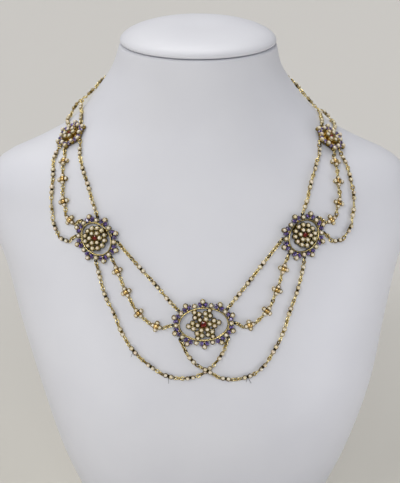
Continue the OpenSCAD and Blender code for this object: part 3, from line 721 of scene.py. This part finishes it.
def make_boss_tree(seed):
    """Domed boss in the middle of a flower, painted dark towards its foot as painted shade and bright at its
    top as a painted highlight, with a wire round it.
    """
    tree, given = tree_with("Bosses on points", {"Boss radius": BOSS_R * MM, "Foot wire": 0.16 * MM})
    dome = node(tree, "GeometryNodeMeshUVSphere", {
        "Segments": 14, "Rings": 8, "Radius": given["Boss radius"]})
    height = node(tree, "ShaderNodeSeparateXYZ", {"Vector": position(tree)}).outputs["Z"]
    # Painted shade low on the dome, painted highlight at its top
    tone_with_painted_light = spread(tree, height, 0, given["Boss radius"], -0.6, 1.1)
    dome = lifted(tree, smooth_shaded(tree, dome.outputs["Mesh"]), tone_with_painted_light)
    foot_ring = wire_ring(tree, given["Boss radius"], given["Foot wire"], 14, 5, bright=0.2)
    whole = joined(tree, moved(tree, dome, size=(1, 1, 0.72)), moved(tree, foot_ring, place=(0, 0, 0.1 * MM)))
    return repeat_on_points(tree, given, whole, honey_gold, seed)


def make_grain_tree(seed):
    """Ball of metal that ends a claw."""
    tree, given = tree_with("Grains on points", {"Grain radius": GRAIN_R * MM})
    grain = node(tree, "GeometryNodeMeshIcoSphere", {"Radius": given["Grain radius"], "Subdivisions": 2})
    # A high lift paints the grain bright: a painted highlight
    whole = lifted(tree, smooth_shaded(tree, grain.outputs["Mesh"]), 0.9)
    return repeat_on_points(tree, given, whole, gold, seed)


def grow(name, tree, places, slot, *nodes):
    """Runs a tree on places in millimetres and makes a piece of it. Each place is a middle, the
    directions along and out and, where it has them, a size and how much lighter or darker it is
    painted, as painted light or painted shade."""
    points = bpy.data.meshes.new(name)
    points.from_pydata([p[0] * MM for p in places], [], [])
    turns, sizes = [], []
    for _, along, out, *size in places:
        turns += Matrix((along, out.cross(along), out)).transposed().to_euler()
        sizes += size[0] if size else (1, 1, 1)
    # Shade: painted light or painted shade on a whole copy
    store(points, "shade", "FLOAT", [p[4] if len(p) > 4 else 0.0 for p in places])
    store(points, "turn", "FLOAT_VECTOR", turns)
    store(points, "size", "FLOAT_VECTOR", sizes)
    maker = placed(name + "_points", points)
    maker.modifiers.new("Repeat", "NODES").node_group = tree
    graph = bpy.context.evaluated_depsgraph_get()
    mesh = bpy.data.meshes.new_from_object(
        maker.evaluated_get(graph), preserve_all_data_layers=True, depsgraph=graph)
    mesh.name = name
    # The first material slot of such a mesh is empty
    finish = next(m for m in mesh.materials if m)
    mesh.polygons.foreach_set("material_index", [0] * len(mesh.polygons))
    maker.modifiers.clear()
    bpy.data.objects.remove(maker)
    return piece(name, mesh, slot, finish, *nodes)


rim_tree = make_rim_tree(3)
pearl_tree = make_pearl_tree(20, 12, 5)
small_pearl_tree = make_pearl_tree(14, 9, 7)
link_tree = make_link_tree(11)
station_tree = make_station_tree(13)
flower_tree = make_flower_tree(17)
boss_tree = make_boss_tree(19)
grain_tree = make_grain_tree(23)


# The bust

def ring_faces(rings, sides):
    """Walls between rings of points, and a cap at each end."""
    faces = []
    for low in range(0, (rings - 1) * sides, sides):
        for i in range(sides):
            j = (i + 1) % sides
            faces.append((low + i, low + j, low + sides + j, low + sides + i))
    faces.append(tuple(range(sides - 1, -1, -1)))
    faces.append(tuple((rings - 1) * sides + i for i in range(sides)))
    return faces


def make_bust():
    """The bust's cover, with a slanted edge at the foot and a round lip at the neck."""
    sides = 144
    heights = [(0, BUST_FOOT), (BUST_FOOT, 0)] + [(z, 0) for z in range(3, BUST_H - 1, 3)]
    for a in (0, 30, 60, 90):
        inset = BUST_LIP * (1 - math.cos(math.radians(a)))
        heights.append((BUST_H - BUST_LIP + BUST_LIP * math.sin(math.radians(a)), inset))
    points = [on_bust(360 * i / sides, z, inset) for z, inset in heights for i in range(sides)]
    mesh = mesh_of("bust_cover", points, ring_faces(len(heights), sides))
    mesh.set_sharp_from_angle(angle=math.radians(60))
    piece("bust_cover", mesh, "leatherette", leatherette, "bust_form")


def make_top_pad():
    """Round board padded with foam: a crowned top, fuller towards the back, that rolls over into a
    tight edge."""
    sides, x, rim = 128, BUST[-1][5], PAD_R - 0.1
    profile = [(PAD_R - 4.5, 0)]
    for a in map(math.radians, (0, 22, 45, 67, 90)):
        profile.append((rim - PAD_TUCK * (1 - math.sin(a)), PAD_ROLL * (1 - math.cos(a))))
    for a in map(math.radians, (3, 8, 14, 21, 29, 38, 48, 58, 68, 78, 87)):
        profile.append((rim * math.cos(a), PAD_ROLL + PAD_CROWN * math.sin(a)))
    points = []
    for r, z in profile:
        for i in range(sides):
            turn = 2 * math.pi * i / sides
            back = PAD_BACK * r / PAD_R * z / (PAD_ROLL + PAD_CROWN) * (1 - math.cos(turn)) / 2
            points.append((x + r * math.sin(turn), -r * math.cos(turn), BUST_H + SEAM + z + back))
    mesh = mesh_of("neck_pad", points, ring_faces(len(profile), sides))
    piece("neck_pad", mesh, "leatherette", leatherette, "bust_top_pad")


make_bust()
make_top_pad()


# The medallions

def oval_wire(face, kind, inset, height, wire, sides=6, steps=72):
    """Points and faces of a round wire that follows a medallion's oval."""
    points, faces = [], []
    for i in range(steps):
        t = 360 * i / steps
        middle = beside(kind, t, inset)
        n = Vector((math.cos(outward_angle(kind, t)), math.sin(outward_angle(kind, t))))
        for k in range(sides):
            a = 2 * math.pi * k / sides
            q = middle + wire * math.cos(a) * n
            points.append(face.at(q.x, q.y, height + wire * math.sin(a)))
    for i in range(steps):
        for k in range(sides):
            a, b = i * sides, (i + 1) % steps * sides
            j = (k + 1) % sides
            faces.append((a + k, b + k, b + j, a + j))
    return points, faces


def petal_places(kind):
    """Middles and directions of the petals, two to each trefoil."""
    return [(beside(kind, t, PETAL_OFF, s * PETAL_SIDE), outward_angle(kind, t) + s * PETAL_SLANT)
            for t in trefoils(kind) for s in (-1, 1)]


def cut_petal(face, middle, angle, base, tip):
    """Marquise-cut stone: pointed outline, girdle, sloping crown and a small table. It is tipped by
    the rise across and along it, as the setter's hand left it."""
    outline = [(math.cos(math.radians(a)), math.sin(math.radians(a))) for a in range(0, 360, 36)]
    outline = [(x, y * (1 - 0.28 * abs(x)**2.2)) for x, y in outline]
    rings = [(0.97, 0), (1, 0.45), (0.78, 0.8), (0.42, 1.02)]
    points = []
    for size, z in rings:
        for x, y in outline:
            u, v = size * PETAL_L * x, size * PETAL_W * y
            points.append(face.at(middle.x + u * math.cos(angle) - v * math.sin(angle),
                                  middle.y + u * math.sin(angle) + v * math.cos(angle),
                                  base + z + tip[0] * u + tip[1] * v))
    return points, ring_faces(len(rings), len(outline))


def merged(parts):
    """Points and faces of several shapes as one."""
    points, faces = [], []
    for some_points, some_faces in parts:
        faces += [tuple(len(points) + i for i in f) for f in some_faces]
        points += some_points
    return points, faces


def make_medallion(name, medallion, kind, star_name):
    """Frame with rims, wire and claws, and its pearls, petals and red stone."""
    face = Face(*medallion[:5])
    prefix = name + {"centre": "", "side": "_medallion", "rosette": "_rosette"}[kind]
    chance = random.Random(name)
    # The frames' plates are painted darker, as painted shade of their pearls, and the rosettes' plates are
    # lighter
    depth, shade = {"centre": (2.6, -0.6), "side": (3.2, -0.6), "rosette": (2.6, 0.2)}[kind]
    mesh = smoothed(prefix + "_frame", face, depth, shade)
    piece(prefix + "_gold_frame", mesh, "gold", gold, prefix + "_frame")
    border = [(p, PLATE_T) for p in border_places(kind)]
    star = [(p, STAR_Z[kind] + PLATE_T + rise) for p, rise in cluster(kind, medallion[5])]

    def turned(p, z, size=1.0):
        a = chance.uniform(0, 2 * math.pi)
        along = math.cos(a) * face.across + math.sin(a) * face.up
        return face.at(p.x, p.y, z), along, face.out, (size, size, size)

    grow(prefix + "_rims", rim_tree, [turned(p, z + 0.02) for p, z in border + star], "gold")
    nodes = [] if kind == "rosette" else [prefix + "_border_pearls"]
    least, most = (1.03, 1.06) if kind == "rosette" else (0.88, 0.96)
    grow(prefix + "_set_border_pearls", pearl_tree,
         [turned(p, z + PEARL_RISE, chance.uniform(least, most)) for p, z in border], "pearl", *nodes)
    grow(prefix + "_set_" + star_name, pearl_tree,
         [turned(p, z + PEARL_RISE, chance.uniform(0.86, 0.94)) for p, z in star], "pearl",
         prefix + "_" + star_name)
    petals = []
    for p, a in petal_places(kind):
        tip = chance.uniform(-0.12, 0.12), chance.uniform(-0.2, 0.2)
        petals.append(cut_petal(face, p, a, PLATE_T - PETAL_SUNK, tip))
    mesh = mesh_of(prefix + "_cut_petals", *merged(petals))
    mesh.shade_flat()
    nodes = [] if kind == "rosette" else [prefix + "_petals"]
    piece(prefix + "_cut_petals", mesh, "violet_stone", violet_stone, *nodes)
    # A large and a small grain between the petals of a trefoil, and one at each end of a petal
    claws = [(beside(kind, t, off), r) for t in trefoils(kind) for off, r in ((0.9, 0.42), (2.2, 0.26))]
    claws += [(p + end * 1.2 * Vector((math.cos(a), math.sin(a))), GRAIN_R)
              for p, a in petal_places(kind) for end in (-1, 1)]
    if kind != "rosette":
        # The band's wires are lifted high, so the gold paints them bright as a painted highlight
        wires = merged([oval_wire(face, kind, 0, 1.72, 0.3), oval_wire(face, kind, -0.33, 0.5, 0.14)])
        piece(prefix + "_band_wire", mesh_of(prefix + "_band_wire", *wires, lift=1.1), "gold", gold)
    grow(prefix + "_claws", grain_tree,
         [turned(p, PLATE_T + 0.3, r / GRAIN_R) for p, r in claws], "gold")
    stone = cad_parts[prefix + "_red_stone"].data
    stone.materials.clear()
    stone.materials.append(red_stone)


make_medallion("centre", CENTRE, "centre", "star_pearls")
make_medallion("left", LEFT_SIDE, "side", "cluster_pearls")
make_medallion("right", RIGHT_SIDE, "side", "cluster_pearls")
make_medallion("left", LEFT_ROSETTE, "rosette", "cluster_pearls")
make_medallion("right", RIGHT_ROSETTE, "rosette", "cluster_pearls")


# The chains

def links_between(route, start, end, rolls, leans):
    """Interlocking links that fill the stretch between two holes, each a quarter turn from the last.
    A hole that lies off the route, as at a bend, draws the links near it over by its lean. Every
    second link is painted lighter, as painted light, and those between are painted darker, as painted shade."""
    first, last = start + LINK_WIRE / 2, end - LINK_WIRE / 2

    def joint(part):
        return (route.at(first + (last - first) * part)[0]
                + (1 - part)**2 * leans[0] + part**2 * leans[1])

    path = [joint(i / 20) for i in range(21)]
    reach = sum((b - a).length for a, b in zip(path, path[1:]))
    count = max(1, round(reach / (LINK_L - 2 * LINK_WIRE)))
    joints = [joint(i / count) for i in range(count + 1)]
    places = []
    for i, (a, b) in enumerate(zip(joints, joints[1:])):
        part = (i + 0.5) / count
        under = i % 2 == 1
        roll = rolls[0] + (rolls[1] - rolls[0]) * part + (45 if under else -45)
        along = (b - a).normalized()
        out = route.at(first + (last - first) * part)[2]
        out = (out - out.dot(along) * along).normalized()
        length = (b - a).length + 2 * LINK_WIRE
        places.append(((a + b) / 2, along, Matrix.Rotation(math.radians(roll), 3, along) @ out,
                       (length / LINK_L, 1, 1), PAINTED_SHADED_LINK if under else PAINTED_LIT_LINK))
    return places


def all_links(route, stops, reach, height, start=LINK_PLAY, end=LINK_PLAY):
    """Links of every stretch of a route. A stop is a length along it with the roll of the piece
    there, or None at an eye. The piece's loops are its reach and height from the middle."""

    def hole(s, roll, side):
        middle, along, out = route.at(s, roll)
        return middle + side * reach * along + height * out

    links = []
    for (a, roll_a), (b, roll_b) in zip(stops, stops[1:]):
        from_here, to_there, leans = a + start, b - end, [Vector(), Vector()]
        if roll_a is not None:
            from_here = a + reach + LINK_PLAY
            leans[0] = hole(a, roll_a, 1) - route.at(a + reach)[0]
        if roll_b is not None:
            to_there = b - reach - LINK_PLAY
            leans[1] = hole(b, roll_b, -1) - route.at(b - reach)[0]
        if to_there - from_here > SHORTEST_STRETCH:
            links += links_between(route, from_here, to_there, (roll_a or 0, roll_b or 0), leans)
    return links


def make_chain(name, route, chance, **ends):
    """Chain of pearl stations and links from one eye to the other."""
    rolls = [chance.uniform(-STATION_ROLL, STATION_ROLL) for _ in route.stations]
    stops = [(0, None), *zip(route.stations, rolls), (route.total, None)]
    stations, pearls = [], []
    for s, roll in stops[1:-1]:
        middle, along, out = route.at(s, roll)
        stations.append((middle, along, out))
        for side in (-1, 1):
            size = chance.uniform(0.93, 1.03)
            place = middle + side * STATION_PEARL * along + STATION_PEARL_Z * out
            pearls.append((place, along, out, (size, size, size)))
    links = all_links(route, stops, STATION_REACH, STATION_LOOP_Z, **ends)
    grow(name + "_links", link_tree, links, "gold", name)
    if stations:
        grow(name + "_stations", station_tree, stations, "gold")
        grow(name + "_pearls", small_pearl_tree, pearls, "pearl")


def make_flower_chain(name, route, chance):
    """Flower links, with their pearls and bosses, and the plain links between them."""
    stops = [(0, None), *((s, 0) for s in route.stations), (route.total, None)]
    links = all_links(route, stops, FLOWER_EYE, FLOWER_Z + FLOWER_LOOP_Z)
    plates, rims, pearls, bosses = [], [], [], []
    for s in route.stations:
        middle, along, out = route.at(s)
        base, across = middle + FLOWER_Z * out, out.cross(along)
        plates.append((base, along, out))
        for arm in (along, across, -along, -across):
            size = chance.uniform(0.86, 0.95)
            pearls.append((base + FLOWER_R * arm + FLOWER_PEARL_Z * out, along, out, (size, size, size)))
            rims.append((base + FLOWER_R * arm + FLOWER_RIM_Z * out, along, out))
        bosses.append((base + FLOWER_BOSS_Z * out, along, out))
    flowers = name.replace("flower_chain", "flowers")
    grow(name + "_links", link_tree, links, "gold", name)
    grow(flowers + "_plates", flower_tree, plates, "gold", flowers)
    grow(flowers + "_rims", rim_tree, rims, "gold")
    grow(flowers + "_pearls", pearl_tree, pearls, "pearl")
    grow(flowers + "_bosses", boss_tree, bosses, "gold")


def make_wire_ends(name, route, ends):
    """Fine wire ends that hang out of stations and curl off the bust as they taper."""
    rods, sides, steps = [], 5, 6
    off, root, taper, curl = 0.6, 0.13, 0.05, 0.06
    for station, length, slant, rise in ends:
        middle, along, out = route.at(route.stations[station])
        down = (Vector((0, 0, -1)) + slant * along).normalized()
        across = out.cross(down).normalized()
        rings = []
        for i in range(steps):
            s = length * i / (steps - 1)
            centre = middle + off * out + s * down + (rise * s + curl * s * s) * out
            wire = root - taper * i / (steps - 1)
            for k in range(sides):
                a = -2 * math.pi * k / sides
                rings.append(centre + wire * (math.cos(a) * across + math.sin(a) * out))
        rods.append((rings, ring_faces(steps, sides)))
    piece(name, mesh_of(name, *merged(rods), lift=-0.3), "gold", gold)


def route_between(start, rows, end):
    """Route whose rows, but for its ends, are stations."""
    return Route([start, *rows, end], len(rows))


def evenly_spaced(route):
    """Gives a route from a joining ring evenly spaced stations; its rows only shape it."""
    first = 1
    stretch = route.total - first
    count = max(1, round(stretch / STATION_PITCH))
    route.stations = [first + stretch * (i + 0.5) / count for i in range(count)]
    return route


clasp_turn = math.degrees(2 * math.asin(CLASP_REACH / 2 / on_bust(180, CLASP_H).xy.length))
chance = random.Random(41)
L, R = LEFT_ROSETTE, RIGHT_ROSETTE
CHAINS = [
    ("left_outer_chain", from_eye(L, "rosette", 270), LEFT_OUTER, from_eye(LEFT_SIDE, "side", 225)),
    ("right_outer_chain", from_eye(R, "rosette", 270), RIGHT_OUTER, from_eye(RIGHT_SIDE, "side", 135)),
    ("left_inner_chain", from_eye(L, "rosette", 0, TIP_EYE_OFF), LEFT_INNER,
     from_eye(LEFT_SIDE, "side", 135)),
    ("right_inner_chain", from_eye(R, "rosette", 180, TIP_EYE_OFF), RIGHT_INNER,
     from_eye(RIGHT_SIDE, "side", 225)),
    ("left_upper_chain", from_eye(LEFT_SIDE, "side", 45), LEFT_UPPER, from_eye(CENTRE, "centre", 144)),
    ("right_upper_chain", from_eye(RIGHT_SIDE, "side", 315), RIGHT_UPPER, from_eye(CENTRE, "centre", 36)),
    ("left_swag_chain", from_eye(LEFT_SIDE, "side", 315), LEFT_SWAG, from_eye(CENTRE, "centre", 324)),
    ("right_swag_chain", from_eye(RIGHT_SIDE, "side", 45), RIGHT_SWAG, from_eye(CENTRE, "centre", 216))]
# Wire ends: the station's number, the length, the slant along the chain and the rise off the bust
WIRE_ENDS = {"left_swag_chain": [(4, 3.4, -0.3, 0.1), (4, 2.6, 0.7, 0.2), (6, 3.6, 0.1, 0.1)],
             "right_swag_chain": [(6, 3.6, -0.45, 0.1), (6, 2.8, 0.4, 0.15)]}
for name, start, rows, end in CHAINS:
    route = route_between(start, rows, end)
    make_chain(name, route, chance)
    if name in WIRE_ENDS:
        make_wire_ends(name.replace("chain", "wire_ends"), route, WIRE_ENDS[name])

FLOWER_CHAINS = [
    ("left_shoulder_flower_chain", from_eye(L, "rosette", 300, TIP_EYE_OFF), LEFT_SHOULDER_FLOWERS,
     from_eye(LEFT_SIDE, "side", 180)),
    ("right_shoulder_flower_chain", from_eye(R, "rosette", 240, TIP_EYE_OFF), RIGHT_SHOULDER_FLOWERS,
     from_eye(RIGHT_SIDE, "side", 180)),
    ("left_front_flower_chain", from_eye(LEFT_SIDE, "side", 0), LEFT_FRONT_FLOWERS,
     from_eye(CENTRE, "centre", 180)),
    ("right_front_flower_chain", from_eye(RIGHT_SIDE, "side", 0), RIGHT_FRONT_FLOWERS,
     from_eye(CENTRE, "centre", 0))]
for name, start, rows, end in FLOWER_CHAINS:
    make_flower_chain(name, route_between(start, rows, end), chance)

# The first link hangs in its ring, and the back chains' last link goes into the clasp
ring_inner = RING_R - RING_WIRE
into_clasp = -1.1
SHORT_CHAINS = [
    ("left_short_outer_chain", LEFT_JOIN, LEFT_SHORT_OUTER, from_eye(L, "rosette", 150)),
    ("left_short_inner_chain", LEFT_JOIN, LEFT_SHORT_INNER, from_eye(L, "rosette", 90)),
    ("right_short_outer_chain", RIGHT_JOIN, RIGHT_SHORT_OUTER, from_eye(R, "rosette", 30)),
    ("right_short_inner_chain", RIGHT_JOIN, RIGHT_SHORT_INNER, from_eye(R, "rosette", 90))]
BACK_CHAINS = [
    ("left_back_chain", LEFT_JOIN, LEFT_BACK, (clasp_turn - 180, CLASP_H, 0)),
    ("right_back_chain", RIGHT_JOIN, RIGHT_BACK, (180 - clasp_turn, CLASP_H, 0))]
for name, *rows in SHORT_CHAINS:
    make_chain(name, evenly_spaced(route_between(*rows)), chance, start=ring_inner)
for name, *rows in BACK_CHAINS:
    make_chain(name, evenly_spaced(route_between(*rows)), chance, start=ring_inner, end=into_clasp)

for name in ("left_joining_ring", "right_joining_ring"):
    piece(name + "_wire", smoothed(name), "gold", gold, name)
piece("clasp_case", smoothed("clasp", Face(180, CLASP_H, 0.3), 2), "gold", gold, "clasp")


# Floor, light and camera, in metres

def make_floor():
    """Seamless paper, painted a little darker in front of the bust, as painted shade where less light falls.
    """
    mesh = bpy.data.meshes.new("floor")
    h = FLOOR_HALF
    mesh.from_pydata([(-h, -h, 0), (h, -h, 0), (h, h, 0), (-h, h, 0)], [], [(0, 1, 2, 3)])
    made, tree, shader, place = material("Warm pale paper", Roughness=0.9, Specular_IOR_Level=0.2)
    depth = node(tree, "ShaderNodeSeparateXYZ", {"Vector": place}).outputs["Y"]
    # Painted shade: the paper darkens towards the front
    tone = ramp(tree, spread(tree, depth, -0.4, 0.5), (0, "#B8B5AA"), (1, "#CFCDC9"))
    tree.links.new(tone, shader.inputs["Base Color"])
    mesh.materials.append(made)
    placed("floor", mesh)


def lamp(name, kind, facing, strength, colour):
    """Lamp of a kind that shines in the direction facing; the lamp's data and the lamp."""
    light = bpy.data.lights.new(name, kind)
    light.energy, light.color = strength, linear(colour)[:3]
    made = placed(name, light)
    made.rotation_euler = facing.to_track_quat("-Z", "Y").to_euler()
    return light, made


def sun(name, towards, angle, strength, colour):
    """Far lamp in the direction towards it; a wide angle stands for a large lamp or a lit wall."""
    light, _ = lamp(name, "SUN", -Vector(towards), strength, colour)
    light.angle = math.radians(angle)


def panel(name, place, aim, size, power, colour):
    """Round reflector near the bust that the camera doesn't see."""
    light, made = lamp(name, "AREA", Vector(aim) - Vector(place), power, colour)
    light.shape, light.size, light.spread = "DISK", size, math.radians(100)
    made.location = place
    made.visible_camera = False


def make_world():
    """Pale studio walls: brighter overhead and to the left, dim low down."""
    world = bpy.data.worlds.new("Studio")
    bpy.context.scene.world = world
    world.use_nodes = True
    tree = world.node_tree
    direction = node(tree, "ShaderNodeTexCoord").outputs["Generated"]
    brightest = (-0.35, -0.1, 0.93)
    side = node(tree, "ShaderNodeVectorMath", {0: direction, 1: brightest}, operation="DOT_PRODUCT")
    walls = tree.nodes["Background"].inputs
    tree.links.new(spread(tree, side.outputs["Value"], -0.3, 1, 0.08, 0.2), walls["Strength"])
    walls["Color"].default_value = linear("#FBFAFF")


make_floor()
make_world()
sun("Soft box at the upper left", (-0.5, -1, 0.8), 14, 0.5, "#FFFDF8")
sun("Window high on the left", (-1, -0.6, 1.0), 36, 0.36, "#FFFDF8")
sun("Lamp overhead", (-0.1, 0.5, 1), 40, 1.7, "#FFFEFC")
sun("Lamp by the camera", (0, -1, 0.5), 24, 0.72, "#FBFCFF")
sun("Pale wall on the right", (1, 0.05, 0.2), 60, 0.3, "#FBFCFF")
sun("Pale wall on the left", (-1, 0.05, 0.2), 60, 0.25, "#FBFCFF")
panel("Reflector at the lower right", (0.34, -0.2, 0.03), (0.09, -0.05, 0.1), 0.25, 0.16, "#F6F7FF")
panel("Reflector at the lower left", (-0.3, -0.25, 0.05), (-0.09, -0.05, 0.12), 0.25, 0.08, "#F6F7FF")
# The photo's whites and golds keep their full range, without a film curve
bpy.context.scene.view_settings.view_transform = "Standard"

# The camera sees the bust as the photo does
AIM = Vector((0, -0.040, 0.1661))
ELEVATION = math.radians(18)
DISTANCE = 1.1
FOCAL_LENGTH = 158.24
camera = bpy.data.cameras.new("Camera")
camera.lens = FOCAL_LENGTH
camera.sensor_width = 36
camera.clip_start, camera.clip_end = 0.05, 50
camera_object = placed("Camera", camera)
camera_object.location = AIM + DISTANCE * Vector((0, -math.cos(ELEVATION), math.sin(ELEVATION)))
camera_object.rotation_euler = (math.pi / 2 - ELEVATION, 0, 0)
bpy.context.scene.camera = camera_object
